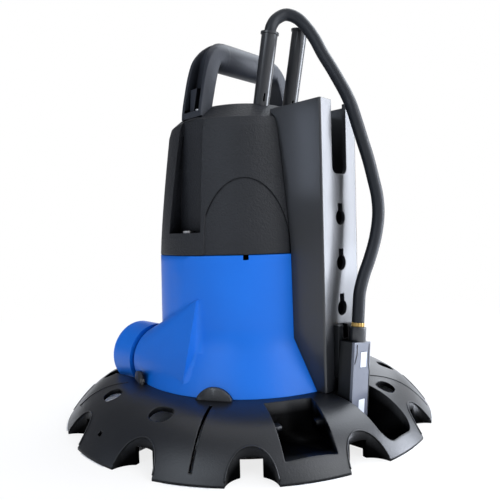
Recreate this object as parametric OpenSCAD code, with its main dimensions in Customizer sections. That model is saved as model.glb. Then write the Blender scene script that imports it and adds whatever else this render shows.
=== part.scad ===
// Submersible pump on a wide scalloped skirt, with a water-level sensor hung on a keyhole tower.
// The origin is on the pump's axis at the ground. +X points at the sensor tower, the discharge
// points along -X and the handle lies along Y.

/* [Skirt] */
// Radius of the skirt at its rim
skirt_r = 150; // [145:1:160]
// Number of petals round the skirt
petals = 12; // [12:1:12]
// Height of the skirt's deck
deck_z = 33; // [30:0.5:36]
// Radius where the deck starts to fall towards the rim
deck_r = 88; // [84:1:90]
// Height of the upright lip at the rim
rim_lip = 1.5; // [1:0.5:3]
// Thickness of the skirt's walls
skirt_wall = 3; // [2:0.5:4]
// Radius of the round notch between two petals
notch_r = 16.5; // [14:0.5:18]
// Width of the water gate at the inner end of a notch
gate_w = 14; // [10:1:18]
// Height of the water gate
gate_h = 12; // [8:1:14]
// Height of the floor under the pump housing
floor_z = 17; // [14:1:19]
// Radius of the intake opening in that floor
intake_r = 36; // [30:1:40]

/* [Pump housing] */
// Radius of the housing where it meets the motor housing
seam_r = 72.4; // [70:0.2:75]
// Height of that joint
seam_z = 132.3; // [125:0.1:140]
// Radius of the housing's foot on the deck
foot_r = 93; // [90:0.5:97]
// Height at which the flare above the foot ends
flare_z = 69; // [66:0.5:74]
// Radius of the spigot that drops into the skirt
spigot_r = 83.5; // [80:0.5:85]
// Radius of the volute chamber
volute_r = 62; // [58:1:64]
// Height of the ceiling of the volute chamber
volute_top = 58; // [56:0.5:60]
// Thickness of the wall round the motor
housing_wall = 3.4; // [3:0.2:4]

/* [Discharge] */
// Distance of the discharge's axis from the pump's axis
outlet_y = 60; // [56:1:62]
// Height of the discharge's axis
outlet_z = 45.5; // [44:0.5:48]
// Outer radius of the discharge collar
collar_r = 26.5; // [25:0.5:28]
// Length of the collar
collar_l = 25; // [20:1:30]
// Distance of the collar's inner end from the pump's axis
collar_x = 52; // [50:1:56]
// Radius of the socket in the collar
socket_r = 20.3; // [18:0.1:21]
// Depth of the socket
socket_l = 23; // [18:1:28]
// Radius of the passage from the volute
passage_r = 15.5; // [12:0.5:16]

/* [Motor housing] */
// Height where the wall turns in to the shoulder
shoulder_z = 228; // [220:1:232]
// Radius of the wall at that height
shoulder_r = 62.5; // [60:0.5:65]
// Height of the top of the housing
top_z = 248.5; // [244:0.5:252]
// Thickness of the housing's wall
shell_wall = 3; // [2.5:0.5:3.5]

/* [Motor] */
// Radius of the pump's shaft
shaft_r = 6; // [5:0.5:7]
// Outer radius of the motor can
can_r = 54; // [50:0.5:55]
// Outer radius of the rotor
rotor_r = 32; // [28:0.5:34]
// Gap between the rotor and the stator
air_gap = 0.6; // [0.4:0.1:1]
// Length of the stator's stack
stack_l = 66; // [55:1:70]
// Radius of the impeller
impeller_r = 40; // [34:0.5:44]
// Number of impeller blades
blades = 6; // [5:1:8]

/* [Handle] */
// Width of the handle, measured along X
handle_w = 24; // [20:1:28]
// Height of the top of the grip
grip_top = 303.5; // [296:0.5:310]
// Thickness of the grip
grip_d = 23.5; // [20:0.5:26]

/* [Sensor tower] */
// Distance of the tower's outer face from the pump's axis
tower_x = 98.5; // [96:0.5:99]
// Width of the tower
tower_w = 44; // [40:1:48]
// Height of the tower's top
tower_top = 241; // [230:1:245]
// Thickness of the tower's walls
tower_wall = 3; // [2.5:0.5:4]
// Number of keyholes
keyholes = 4; // [3:1:4]
// Spacing of the keyholes
keyhole_pitch = 33; // [30:0.5:35]
// Width of a keyhole's neck
neck_w = 5.6; // [5:0.2:6.4]
// Diameter of a keyhole's round end
eye_d = 11.4; // [10:0.2:12]

/* [Sensor] */
// Width of the sensor
sensor_w = 21; // [19:1:23]
// Thickness of the sensor's body
sensor_t = 12; // [11:0.5:13]
// Height of the sensor's body
sensor_h = 56; // [52:1:58]
// Height of the sensor's lower end
sensor_z = 12; // [12:0.5:14]
// Lean of the hanging sensor in degrees, with its lower end towards -Y
sensor_lean = 7; // [0:1:8]
// Diameter of the sensor's cable
cable_d = 9; // [8:0.5:9.5]

/* [Clearances] */
// Gap round a part that slides or is slipped in
slip = 0.3; // [0.2:0.05:0.5]
// Gap round a running shaft
running = 0.05; // [0.03:0.01:0.09]
// Gap between a moulded cover and the curved wall beside it
cover_gap = 0.4; // [0.3:0.1:0.8]

/* [Hidden] */
$fn = 96;
e = 0.01; // overlap that keeps cuts clean

black = "#26282d";
blue = "#2d78e1";
steel = "#b9bcc0";

// Skirt
petal_step = 360 / petals;
notch_at = skirt_r + 2;                   // the notch's centre is just outside the rim
well_r = spigot_r + slip;                 // the well that the housing's spigot drops into
floor_top = floor_z + skirt_wall;
flare_top_r = seam_r + 0.8;
hole_r = 6.5;
hole_at = notch_at - notch_r - skirt_wall - hole_r - 7;
slit_in = deck_r + 16;
hole_half = 2.5;
window_in = tower_x + 2;
window_out = skirt_r - 5.5;
window_floor = 1;
pocket_in = foot_r + 6.5;
pocket_floor = 9;
pocket_out = skirt_r - 8;
pocket_w = 34.6;
trough_r = collar_r + 3;
screw_ring = 77;
skirt_screw_angles = [20, 75, 160, -75];

// Stack of the pump and the motor, from the bottom up
cover_t = 5;
cover_r = volute_r + 8;
impeller_z = floor_top + cover_t + 3;
impeller_h = 24;
shelf_t = 6;
seal_plate_z = volute_top + shelf_t;
seal_plate_t = 6;
seal_r = 16;
seal_h = 12;
bore_r = seam_r - housing_wall;
bell_z = 84;
bell_t = 6;
bearing_r = 16;
bearing_h = 10;
stack_z = bell_z + bell_t + 14;
stack_top = stack_z + stack_l;
winding_h = 12;
bell2_z = stack_top + 14;
can_top = bell2_z + bell_t;
shaft_top = bell2_z + bell_t + 8;
capacitor_r = 15;
board_gap = 14;                           // height of the control board above the end bell

// Motor housing
lap_z = seam_z - 8;                       // its lower edge slips inside the pump housing
ring_r = 1.6;                             // radius of the O-ring's section
crown_r = 42;
arch_w = 68.6;
arch_h = 57;
pocket_z = 149;
pocket_back = 58;                         // distance of the pockets' backs from the pump's axis
screw_at = pocket_back + 4.5;

// Handle outline, as distance from the pump's axis and height
grip_z = grip_top - grip_d / 2;
leg_foot = 57;
leg_t = 11;
channel_wall = 3.2;
ledge_z = shoulder_z + 12;

handle_screw_x = 5;
handle_screw_y = leg_foot - 4.1;
handle_screw_r = 1.2;

// Tower
tower_edge = 1.4;                         // radius of its two outer corners
neck_top = tower_top - 73.2;
neck_l = 10.3;
slot_w = 18;
slot_bottom = tower_top - 52;
tower_screw_z = [tower_top - 37, tower_top - 21];

// Sensor
bracket_t = 4;
sensor_x = tower_x + slip + bracket_t + slip;
sensor_top = sensor_z + sensor_h;
stud_z = neck_top - (keyholes - 1) * keyhole_pitch - neck_w / 2 - slip;
stud_r = neck_w / 2 - slip;
stud_head_r = eye_d / 2 - 2 * slip;
// Corner of each pad, measured from the middle of the sensor's lower end
pad_places = [[-2, sensor_h - 17.6], [-2, 5.1]];
pad_w = 7.6;
pad_h = 10.6;
gland_x = sensor_x + sensor_t / 2 + 0.9;
gland_y = 0.6;
gland_r = 6.1;
gland_h = 10.5;
ring_h = 3;
window_w = sensor_w * cos(sensor_lean) + 2 * (stud_z - sensor_z) * sin(sensor_lean) + 2;
// The sensor's own axis, and the top of the ring on it, where the cable ends
sensor_up = [0, sin(sensor_lean), cos(sensor_lean)];
cable_end = [gland_x, gland_y * cos(sensor_lean), stud_z - gland_y * sin(sensor_lean)]
    + (sensor_top + gland_h + ring_h - stud_z) * sensor_up;

// Cable sleeves: both lean outwards
sleeve_r = 6.25;
sleeve_x = 38;
sleeve_y = 17;
sleeve_lean = 12;
sensor_sleeve_l = 55.5;
mains_sleeve_l = 66;

// Route of the sensor cable, from the top of its sleeve to the ring above the sensor
cable_route = [[47, -17, 288], [49.6, -17, 300.5], [50.4, -15.4, 306], [52, -11.5, 311.3], [56, -5, 315],
    [62, 1, 312], [68, 5, 304], [74, 7, 294], [80, 8, 282], [87, 9, 270], [94, 9, 258],
    [100, 8, 248], [105, 7, 238], [108, 9, 226], [110, 13, 213], [112, 17, 200], [114, 20, 186],
    [116, 22, 172], [116, 23, 158], [115, 20, 142], [113, 15, 127], [111, 10, 115], [110, 5.6, 103]];

function dome_z(r) =
    let (t = max(0, (r - deck_r) / (skirt_r - deck_r)))
    rim_lip + (deck_z - rim_lip) * (1 - pow(t, 3));

function shell_r(z) =
    seam_r - (seam_r - shoulder_r) * pow((z - seam_z) / (shoulder_z - seam_z), 1.25);

module tube(r1, r2, h) {
    difference() {
        cylinder(r = r1, h = h);
        translate([0, 0, -e]) cylinder(r = r2, h = h + 2 * e);
    }
}

module around(angles) {
    for (a = angles) rotate([0, 0, a]) children();
}

// A pan-head screw that points down, with its head's underside at the origin
module screw(head_r, head_h, shank_r, shank_l) {
    difference() {
        cylinder(r = head_r, h = head_h, $fn = 32);
        translate([0, 0, head_h - 1.2]) cylinder(r = head_r * 0.42, h = 2, $fn = 6);
    }
    translate([0, 0, -shank_l]) cylinder(r = shank_r, h = shank_l + e, $fn = 24);
}

// A box along +X from x0 to x1 with rounded outer corners, standing on z = 0
module slab(x0, x1, w, r, h) {
    translate([x0, -w / 2, 0]) cube([x1 - x0 - r, w, h]);
    translate([x0, r - w / 2, 0]) cube([x1 - x0, w - 2 * r, h]);
    for (s = [-1, 1]) translate([x1 - r, s * (w / 2 - r), 0]) cylinder(r = r, h = h, $fn = 32);
}

// The solid inside the outside surface of the pump housing and the motor housing, grown by gap
module pump_envelope(gap) {
    rotate_extrude()
        polygon(concat(
            [[0, deck_z - 1], [foot_r + gap, deck_z - 1]],
            [[foot_r + gap, deck_z], [flare_top_r + gap, flare_z], [seam_r + gap, seam_z]],
            [for (i = [1:8]) let (z = seam_z + (shoulder_z - seam_z) * i / 8) [shell_r(z) + gap, z]],
            [[60.5 + gap, shoulder_z + 6.5], [56.5 + gap, shoulder_z + 10], [46 + gap, top_z - 1.5],
                [crown_r, top_z + gap], [0, top_z + gap]]));
}

module dome_solid(drop, wall) {
    rotate_extrude()
        polygon(concat(
            [[0, -1], [skirt_r - wall, -1]],
            [for (i = [14:-1:0])
                let (r = deck_r + (skirt_r - deck_r) * i / 14) [r - wall * i / 14, dome_z(r) - drop]],
            [[0, deck_z - drop]]));
}

module skirt_base() {
    notch_angles = [for (i = [0:petals - 1]) petal_step * (i + 0.5)];
    color(black)
    difference() {
        union() {
            difference() {
                dome_solid(0, 0);
                dome_solid(skirt_wall, skirt_wall * 0.8);
            }
            // wall that runs down to the ground round each notch
            intersection() {
                dome_solid(0, 0);
                around(notch_angles) translate([notch_at, 0, 0])
                    cylinder(r = notch_r + skirt_wall, h = deck_z);
            }
            // well under the pump
            translate([0, 0, floor_z]) tube(well_r + skirt_wall, intake_r, deck_z - floor_z);
            // blocks that the filter pocket and the sensor window are cut in
            intersection() {
                dome_solid(0, 0);
                union() {
                    rotate([0, 0, -30]) translate([0, 0, pocket_floor])
                        slab(pocket_in - 2, pocket_out + 2, pocket_w + 4, 2, deck_z);
                    translate([0, 0, window_floor])
                        slab(window_in - 2, window_out + 2, window_w + 4, 11, deck_z);
                }
            }
        }
        // everything below the ground
        translate([0, 0, -5]) cylinder(r = skirt_r + 5, h = 5);
        around(notch_angles) translate([notch_at, 0, -1]) cylinder(r = notch_r, h = deck_z + 5);
        // water gates
        around(notch_angles)
            translate([notch_at - notch_r - skirt_wall - 3, -gate_w / 2, -1])
                cube([skirt_wall + 8, gate_w, gate_h + 1]);
        translate([0, 0, floor_top]) cylinder(r = well_r, h = deck_z);
        // the collar's recess and the way out for a fitting
        translate([5 - skirt_r, -outlet_y, outlet_z]) rotate([0, 90, 0])
            cylinder(r = socket_r + 2, h = skirt_r);
        translate([-collar_x - collar_l - 6, -outlet_y, outlet_z]) rotate([0, 90, 0])
            cylinder(r = trough_r, h = collar_x + collar_l + 30);
        // vent holes
        around([15, 45, 75, 105, 135, 165, -75, -105, -135])
            union() {
                for (s = [-1, 1])
                    translate([hole_at, s * hole_half, 10]) cylinder(r = hole_r, h = deck_z, $fn = 48);
                translate([hole_at - hole_r, -hole_half, 10])
                    cube([2 * hole_r, 2 * hole_half, deck_z]);
            }
        // slit and small slot
        rotate([0, 0, -59.5]) translate([slit_in, -1.1, -1])
            cube([skirt_r - 3.5 - slit_in, 2.2, deck_z + 2]);
        rotate([0, 0, -92]) translate([skirt_r - 10.7, -2, 2]) cube([2.4, 4, deck_z]);
        rotate([0, 0, -30]) translate([0, 0, pocket_floor + 2])
            slab(pocket_in, pocket_out, pocket_w, 1, deck_z);
        translate([0, 0, window_floor + 2]) slab(window_in, window_out, window_w, 9, deck_z);
        around(skirt_screw_angles) translate([screw_ring, 0, floor_z - 1])
            cylinder(r = 2.5 + slip, h = 9, $fn = 32);
    }
    // clips in the filter pocket
    color(black) rotate([0, 0, -30]) for (s = [-1, 1])
        translate([pocket_in + 16, s * pocket_w / 2 - (s > 0 ? 5 : 0) - 0.5, deck_z - 12])
            cube([7, 5.5, 4]);
    // snap lugs that hook over the foot of the pump housing
    around([-60, 60, 150]) snap_lug(14.5, 5.5, 0);
    rotate([0, 0, -109]) snap_lug(11, 2.5, 1.1);
}

// A round lug on the skirt's deck, its centre that far below the deck, set out by a distance
module snap_lug(r, drop, out) {
    color(black) intersection() {
        translate([foot_r + cover_gap + out, 0, deck_z - drop]) rotate([0, 90, 0]) cylinder(r = r, h = 3);
        translate([foot_r, -20, deck_z - 1]) cube([6, 40, 12]);
    }
}

module intake_screen() {
    color(black)
    translate([0, 0, floor_z - 3])
    difference() {
        cylinder(r = intake_r + 5, h = 3);
        for (i = [-4:4]) let (half = sqrt(pow(intake_r - 3, 2) - pow(i * 7, 2)))
            translate([-half, i * 7 - 1.8, -1]) cube([2 * half, 3.6, 5]);
    }
}

module skirt_screws() {
    color(steel) around(skirt_screw_angles)
        translate([screw_ring, 0, floor_z]) rotate([180, 0, 0]) screw(5, 3, 2.5, 16);
}

module pump_housing() {
    color(blue)
    difference() {
        union() {
            // spigot and flared body
            translate([0, 0, floor_top]) cylinder(r = spigot_r, h = deck_z - floor_top + 1);
            rotate_extrude()
                polygon([[0, deck_z], [foot_r, deck_z], [flare_top_r, flare_z], [seam_r, seam_z],
                    [0, seam_z]]);
            // swelling that runs out to the discharge
            hull() {
                translate([-47, -outlet_y, outlet_z]) rotate([0, 90, 0])
                    cylinder(r = collar_r - 1, h = 1, $fn = 48);
                translate([19.5, 0, 0]) rotate([90, 0, -90])
                    linear_extrude(1) polygon([[outlet_y - 20, deck_z], [outlet_y + 27.5, deck_z],
                        [outlet_y + 26.7, deck_z + 12], [outlet_y + 12.5, deck_z + 66],
                        [outlet_y - 20, deck_z + 66]]);
            }
            translate([-collar_x - 1, -outlet_y, outlet_z]) rotate([0, 90, 0])
                cylinder(r = collar_r - 4.5, h = 10);
            translate([-collar_x - collar_l, -outlet_y, outlet_z]) rotate([0, 90, 0])
                cylinder(r = collar_r, h = collar_l);
        }
        // recess of the volute cover, volute chamber and outlet passage
        translate([0, 0, floor_top - 1]) cylinder(r = cover_r + slip, h = cover_t + 1);
        translate([0, 0, floor_top]) cylinder(r = volute_r, h = volute_top - floor_top);
        translate([-collar_x - 5, -outlet_y, outlet_z]) rotate([0, 90, 0])
            cylinder(r = passage_r, h = collar_x + 8);
        translate([-collar_x - collar_l - 1, -outlet_y, outlet_z]) rotate([0, 90, 0])
            cylinder(r = socket_r, h = socket_l + 1);
        // way in for a fitting, through the edge of the foot's flare
        translate([-foot_r - 5, -outlet_y, outlet_z]) rotate([0, 90, 0])
            cylinder(r = socket_r + 2, h = foot_r + 5 - collar_x - collar_l);
        // opening for the seal plate, and the room for the motor
        translate([0, 0, volute_top - 1]) cylinder(r = 40, h = shelf_t + 2);
        translate([0, 0, seal_plate_z]) cylinder(r = bore_r, h = seam_z);
        around(skirt_screw_angles) translate([screw_ring, 0, floor_top - 1])
            cylinder(r = 2.5 + slip, h = 15, $fn = 32);
        // notch for the motor housing's alignment tab
        rotate([0, 0, -45]) translate([seam_r - 6, -2, seam_z - 4]) cube([10, 4, 5]);
    }
    // bosses that take the housing screws
    color(blue) around([90, -90])
        difference() {
            intersection() {
                translate([screw_at, 0, seal_plate_z + 8])
                    cylinder(r = bore_r - screw_at + 1.5, h = lap_z - seal_plate_z - 12, $fn = 32);
                cylinder(r = bore_r + 1, h = seam_z);
            }
            translate([screw_at, 0, lap_z - 24]) cylinder(r = 2, h = 30, $fn = 24);
        }
}

module volute_cover() {
    color(black)
    translate([0, 0, floor_top])
    difference() {
        cylinder(r = cover_r, h = cover_t);
        translate([0, 0, -1]) cylinder(r = 20, h = cover_t + 2);
    }
}

module impeller() {
    color("#1d2a3c")
    translate([0, 0, impeller_z])
    difference() {
        union() {
            cylinder(r = impeller_r, h = 3);
            translate([0, 0, impeller_h - 3]) cylinder(r = impeller_r, h = 3);
            cylinder(r = 13, h = impeller_h);
            for (i = [0:blades - 1]) rotate([0, 0, i * 360 / blades])
                intersection() {
                    translate([impeller_r * 0.5, -impeller_r * 0.35, 1])
                        tube(impeller_r * 0.62, impeller_r * 0.62 - 2.4, impeller_h - 2);
                    cylinder(r = impeller_r - 0.5, h = impeller_h);
                    cube([2 * impeller_r, 2 * impeller_r, impeller_h]);
                }
        }
        translate([0, 0, -1]) cylinder(r = shaft_r, h = impeller_h + 2);
        // eye of the impeller, facing down
        translate([0, 0, -1]) tube(19, 13, 4 + e);
    }
}

module impeller_nut() {
    color(steel)
    translate([0, 0, impeller_z - 5])
    difference() {
        cylinder(r = 9, h = 5, $fn = 6);
        translate([0, 0, -1]) cylinder(r = shaft_r, h = 7);
    }
}

module pump_shaft() {
    color(steel) translate([0, 0, impeller_z - 5]) cylinder(r = shaft_r, h = shaft_top - impeller_z + 5);
}

module shaft_seal() {
    color("#3a3a3a")
    translate([0, 0, seal_plate_z + seal_plate_t]) tube(seal_r, shaft_r + running, seal_h);
}

module seal_plate() {
    color("#8f9499")
    difference() {
        union() {
            translate([0, 0, seal_plate_z]) cylinder(r = bore_r - slip, h = seal_plate_t);
            translate([0, 0, volute_top]) cylinder(r = 40 - slip, h = shelf_t + e);
        }
        translate([0, 0, volute_top - 1]) cylinder(r = shaft_r + 1, h = 20);
    }
}

module housing_o_ring() {
    color("#151515")
    translate([0, 0, lap_z - ring_r - slip]) rotate_extrude()
        translate([bore_r - ring_r - slip, 0]) circle(r = ring_r, $fn = 24);
}

module bell(z) {
    color("#9aa0a5")
    translate([0, 0, z])
    difference() {
        cylinder(r = can_r - 1.5, h = bell_t);
        translate([0, 0, -1]) cylinder(r = bearing_r, h = bell_t + 2);
        around([45, 135, 225, 315]) translate([38, 0, -1]) cylinder(r = 8, h = bell_t + 2);
    }
}

// A sealed ball bearing: its shields are set back between the two races
module bearing(z) {
    color(steel)
    translate([0, 0, z])
    difference() {
        tube(bearing_r, shaft_r + running, bearing_h);
        for (h = [-1, bearing_h - 0.8]) translate([0, 0, h]) tube(bearing_r - 2.5, shaft_r + 2.5, 1.8);
    }
}

module lower_end_bell() bell(bell_z);
module upper_end_bell() {
    bell(bell2_z);
    // posts that carry the control board
    color("#9aa0a5") for (s = [-1, 1]) translate([33, s * 12, can_top - e])
        cylinder(r = 3, h = board_gap + e, $fn = 24);
}
module lower_bearing() bearing(bell_z - 2);
module upper_bearing() bearing(bell2_z - 2);

module rotor_core() {
    color("#7d8287") translate([0, 0, stack_z]) tube(rotor_r, shaft_r, stack_l);
}

module stator_core() {
    color("#8a8f94")
    translate([0, 0, stack_z])
    difference() {
        cylinder(r = can_r - 1.5, h = stack_l);
        translate([0, 0, -1]) cylinder(r = rotor_r + air_gap, h = stack_l + 2);
    }
}

module stator_windings() {
    color("#b5652a")
    for (z = [stack_z - winding_h, stack_top])
        translate([0, 0, z]) tube(can_r - 5, rotor_r + 3, winding_h);
}

module motor_can() {
    color("#a9aeb2")
    translate([0, 0, bell_z]) tube(can_r, can_r - 1.5, can_top - bell_z);
}

module run_capacitor() {
    color("#d8d8d2")
    translate([-bearing_r - slip - capacitor_r, 0, can_top]) cylinder(r = capacitor_r, h = 26);
}

module control_board() {
    color("#1f6b3a")
    translate([8, -22, can_top + board_gap]) cube([30, 44, 1.6]);
    color("#222222")
    translate([14, -14, can_top + board_gap + 1.6]) cube([12, 12, 5]);
}

module motor_housing() {
    color(black)
    difference() {
        union() {
            // outer shell
            intersection() {
                pump_envelope(0);
                translate([0, 0, seam_z]) cylinder(r = 200, h = 200);
            }
            // skirt that slips inside the pump housing
            translate([0, 0, lap_z]) cylinder(r = bore_r - slip, h = seam_z - lap_z + e);
            // alignment tab
            rotate([0, 0, -45]) translate([seam_r - 5, -1.7, seam_z - 3.7]) cube([4.9, 3.4, 4]);
        }
        // inside of the shell
        rotate_extrude()
            polygon(concat(
                [[0, lap_z - 1], [bore_r - slip - shell_wall, lap_z - 1],
                    [bore_r - slip - shell_wall, seam_z]],
                [for (i = [0:8]) let (z = seam_z + (shoulder_z - seam_z) * i / 8)
                    [shell_r(z) - shell_wall - 1, z]],
                [[52.5, shoulder_z + 8], [42.5, top_z - 4], [0, top_z - 4]]));
        // arched panel, one millimetre deep
        rotate([0, 0, -45]) difference() {
            translate([0, 0, seam_z - 0.5]) rotate([90, 0, 90]) linear_extrude(2 * seam_r)
                polygon([for (a = [0:6:180]) [arch_w / 2 * cos(a), arch_h * sin(a)]]);
            translate([0, 0, -1]) pump_envelope(-1);
        }
        // holes for the tower's screws, the handle's screws and the cables
        for (z = tower_screw_z) translate([50, 0, z]) rotate([0, 90, 0])
            cylinder(r = 2 + slip, h = 30, $fn = 24);
        for (s = [-1, 1]) {
            translate([handle_screw_x, s * handle_screw_y, shoulder_z])
                cylinder(r = handle_screw_r + slip, h = 20, $fn = 24);
            sleeve_place(s) translate([0, 0, -12]) cylinder(r = cable_d / 2 + slip, h = 20);
        }
        // screw pockets below the handle's legs
        for (s = [0, 180]) rotate([0, 0, s]) screw_pocket(ledge_z - 4);
    }
    // floors and backs of the pockets
    color(black) for (s = [0, 180]) rotate([0, 0, s])
        difference() {
            intersection() {
                pump_envelope(-0.05);
                translate([-18, -2 * pocket_back, seam_z])
                    cube([42, pocket_back + 3, ledge_z - seam_z]);
            }
            screw_pocket(ledge_z + 9);
            translate([0, -screw_at, seam_z - 1]) cylinder(r = 2 + slip, h = 40, $fn = 24);
        }
}

// The room cut for a housing screw, below the handle's leg on the -Y side
module screw_pocket(top) {
    translate([0, -2 * pocket_back, 0]) rotate([-90, 0, 0])
        linear_extrude(pocket_back)
            polygon([[-15, -pocket_z], [21, -pocket_z], [17, -top], [-7, -top]]);
}

// Puts its children at the foot of the cable sleeve on that side, along the sleeve's lean
module sleeve_place(side) {
    translate([sleeve_x, side * sleeve_y, top_z - 2.5]) rotate([0, sleeve_lean, 0]) children();
}

module housing_screws() {
    color(steel) around([90, -90])
        translate([screw_at, 0, pocket_z]) screw(4.2, 1.7, 2, pocket_z - lap_z + 18);
}

// The height that lies that share of the way from the ledge up to the grip's top
function leg_at(share) = ledge_z + share * (grip_top - ledge_z);

module handle_outline() {
    half = [[leg_foot, ledge_z - 8], [leg_foot - 5, leg_at(0.362)], [leg_foot - 10.5, leg_at(0.67)],
        [leg_foot - 14, leg_at(0.803)], [leg_foot - 20, leg_at(0.92)], [leg_foot - 28, leg_at(0.984)],
        [leg_foot - 34, grip_top]];
    under = grip_top - grip_d - ledge_z;
    inner = [[leg_foot - 36, ledge_z + under], [leg_foot - 26, ledge_z + under],
        [leg_foot - 21.5, ledge_z + 0.95 * under], [leg_foot - 19, ledge_z + 0.85 * under],
        [leg_foot - 17, ledge_z + 0.61 * under], [leg_foot - leg_t, ledge_z - 8]];
    for (s = [-1, 1]) polygon([for (p = concat(half, [[-1, grip_top], [-1, grip_top - grip_d]], inner))
        [s * p[0], p[1]]]);
}

module leg_channel() {
    polygon([[2 * leg_foot, ledge_z + 3], [leg_foot - 8, ledge_z + 3], [leg_foot - 12, leg_at(0.4)],
        [leg_foot - 16.5, leg_at(0.67)], [leg_foot - 20, leg_at(0.85)],
        [leg_foot - 19, leg_at(1.08)], [2 * leg_foot, leg_at(1.08)]]);
}

module handle() {
    color(black)
    difference() {
        union() {
            difference() {
                intersection() {
                    rotate([90, 0, 90]) translate([0, 0, -handle_w / 2]) linear_extrude(handle_w)
                        handle_outline();
                    // the grip is round and the legs are flat
                    union() {
                        translate([0, -leg_foot, grip_z]) rotate([-90, 0, 0])
                            cylinder(r = grip_d / 2 + 0.2, h = 2 * leg_foot);
                        for (s = [-1, 1]) scale([1, s, 1]) translate([-handle_w / 2, leg_foot - 21, 0])
                            cube([handle_w, 2 * leg_foot, 2 * grip_top]);
                    }
                }
                // each leg is a channel that opens outwards
                for (s = [-1, 1]) scale([1, s, 1])
                    rotate([90, 0, 90]) translate([0, 0, channel_wall - handle_w / 2])
                        linear_extrude(handle_w - 2 * channel_wall) leg_channel();
            }
            // small rib in each channel
            for (s = [-1, 1]) translate([-4.5, s * (leg_foot - 8.6) - 2, ledge_z + 3 - e])
                cube([3, 4, 0.315 * (grip_top - ledge_z)]);
        }
        pump_envelope(0.05);
        for (s = [-1, 1]) translate([handle_screw_x, s * handle_screw_y, ledge_z - 20])
            cylinder(r = handle_screw_r + slip, h = 28, $fn = 24);
    }
}

module handle_screws() {
    color(steel) for (s = [-1, 1])
        translate([handle_screw_x, s * handle_screw_y, ledge_z + 3])
            screw(2.2, 1.8, handle_screw_r, 12);
}

module sensor_tower() {
    color(black)
    difference() {
        translate([0, 0, deck_z]) slab(52, tower_x, tower_w, tower_edge, tower_top - deck_z);
        // channel inside the tower
        translate([0, -tower_w / 2 + tower_wall, deck_z - 1])
            cube([tower_x - tower_wall, tower_w - 2 * tower_wall, tower_top]);
        pump_envelope(cover_gap);
        // cable slot, open at the top
        translate([tower_x - tower_wall - 1, -slot_w / 2, slot_bottom + 5])
            cube([tower_wall + 2, slot_w, tower_top]);
        for (s = [-1, 1]) translate([tower_x + 1, s * (slot_w / 2 - 5), slot_bottom + 5])
            rotate([0, -90, 0]) cylinder(r = 5, h = tower_wall + 2, $fn = 32);
        translate([tower_x - tower_wall - 1, 5 - slot_w / 2, slot_bottom])
            cube([tower_wall + 2, slot_w - 10, 10]);
        // keyholes: a neck above a round eye
        for (i = [0:keyholes - 1]) let (top = neck_top - i * keyhole_pitch) {
            translate([tower_x - tower_wall - 1, -neck_w / 2, top - neck_l])
                cube([tower_wall + 2, neck_w, neck_l]);
            translate([tower_x + 1, 0, top - neck_l]) rotate([0, -90, 0])
                cylinder(r = eye_d / 2, h = tower_wall + 2, $fn = 48);
        }
    }
    // back of the channel, with two bosses that are screwed to the motor housing
    color(black)
    difference() {
        union() {
            translate([seam_r + 0.2, -tower_w / 2 + tower_wall - e, 84])
                cube([3, tower_w - 2 * tower_wall + 2 * e, tower_top - 88]);
            for (z = tower_screw_z) translate([55, 0, z]) rotate([0, 90, 0])
                cylinder(r = 6, h = seam_r - 54, $fn = 32);
        }
        pump_envelope(cover_gap);
        for (z = tower_screw_z) translate([50, 0, z]) rotate([0, 90, 0])
            cylinder(r = 2 + slip, h = 30, $fn = 24);
    }
}

module tower_screws() {
    color(steel) for (z = tower_screw_z)
        translate([seam_r + 3.2, 0, z]) rotate([0, 90, 0]) screw(4, 2.5, 2, 13);
}

module sleeve(side, length) {
    color(black)
    difference() {
        sleeve_place(side) {
            translate([0, 0, -2]) cylinder(r = sleeve_r, h = length + 2);
            translate([0, 0, length - 1.6]) cylinder(r = sleeve_r + 0.8, h = 1.6);
        }
        sleeve_place(side) {
            translate([0, 0, -10]) cylinder(r = cable_d / 2 + slip, h = length + 12);
            // drain slit at the foot
            rotate([0, 0, -30]) translate([3, -0.7, 4]) cube([8, 1.4, 6]);
        }
        pump_envelope(0.05);
    }
}

module mains_cable_sleeve() sleeve(1, mains_sleeve_l);
module sensor_cable_sleeve() sleeve(-1, sensor_sleeve_l);

function unit(v) = v / norm(v);
function ring_of(c, dir, r, n) =
    let (side = unit(cross(dir, [0, 1, 0.01])), up = cross(side, dir))
    [for (i = [0:n - 1]) c + r * (cos(i * 360 / n) * side + sin(i * 360 / n) * up)];

module sensor_cable() {
    sides = 10;
    route = concat(cable_route, [cable_end + 10.5 * sensor_up, cable_end]);
    last = len(route) - 1;
    points = [for (i = [0:last])
        each ring_of(route[i], unit(route[min(i + 1, last)] - route[max(i - 1, 0)]), cable_d / 2, sides)];
    walls = [for (i = [0:last - 1], j = [0:sides - 1])
        let (k = (j + 1) % sides)
        [i * sides + j, i * sides + k, (i + 1) * sides + k, (i + 1) * sides + j]];
    color(black) polyhedron(points, concat(
        [[for (j = [sides - 1:-1:0]) j]], walls, [[for (j = [0:sides - 1]) last * sides + j]]));
}

// Leans its children about the stud, as the sensor hangs
module sensor_place() {
    translate([0, 0, stud_z]) rotate([-sensor_lean, 0, 0]) translate([0, 0, -stud_z]) children();
}

module cable_ring() {
    color("#c09a3e") sensor_place() translate([gland_x, gland_y, sensor_top + gland_h])
        cylinder(r = cable_d / 2 + 0.2, h = ring_h);
}

module gland_nut() {
    color(black) sensor_place() translate([gland_x, gland_y, sensor_top])
        cylinder(r = gland_r, h = gland_h);
}

module sensor_body() {
    color(black)
    sensor_place() translate([sensor_x, 0, sensor_z])
    difference() {
        translate([0, -sensor_w / 2, 0]) cube([sensor_t - 2, sensor_w, sensor_h]);
        // room for the board, open towards the cover
        translate([3, 2.5 - sensor_w / 2, 6]) cube([sensor_t, sensor_w - 5, sensor_h - 12]);
    }
}

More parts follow.
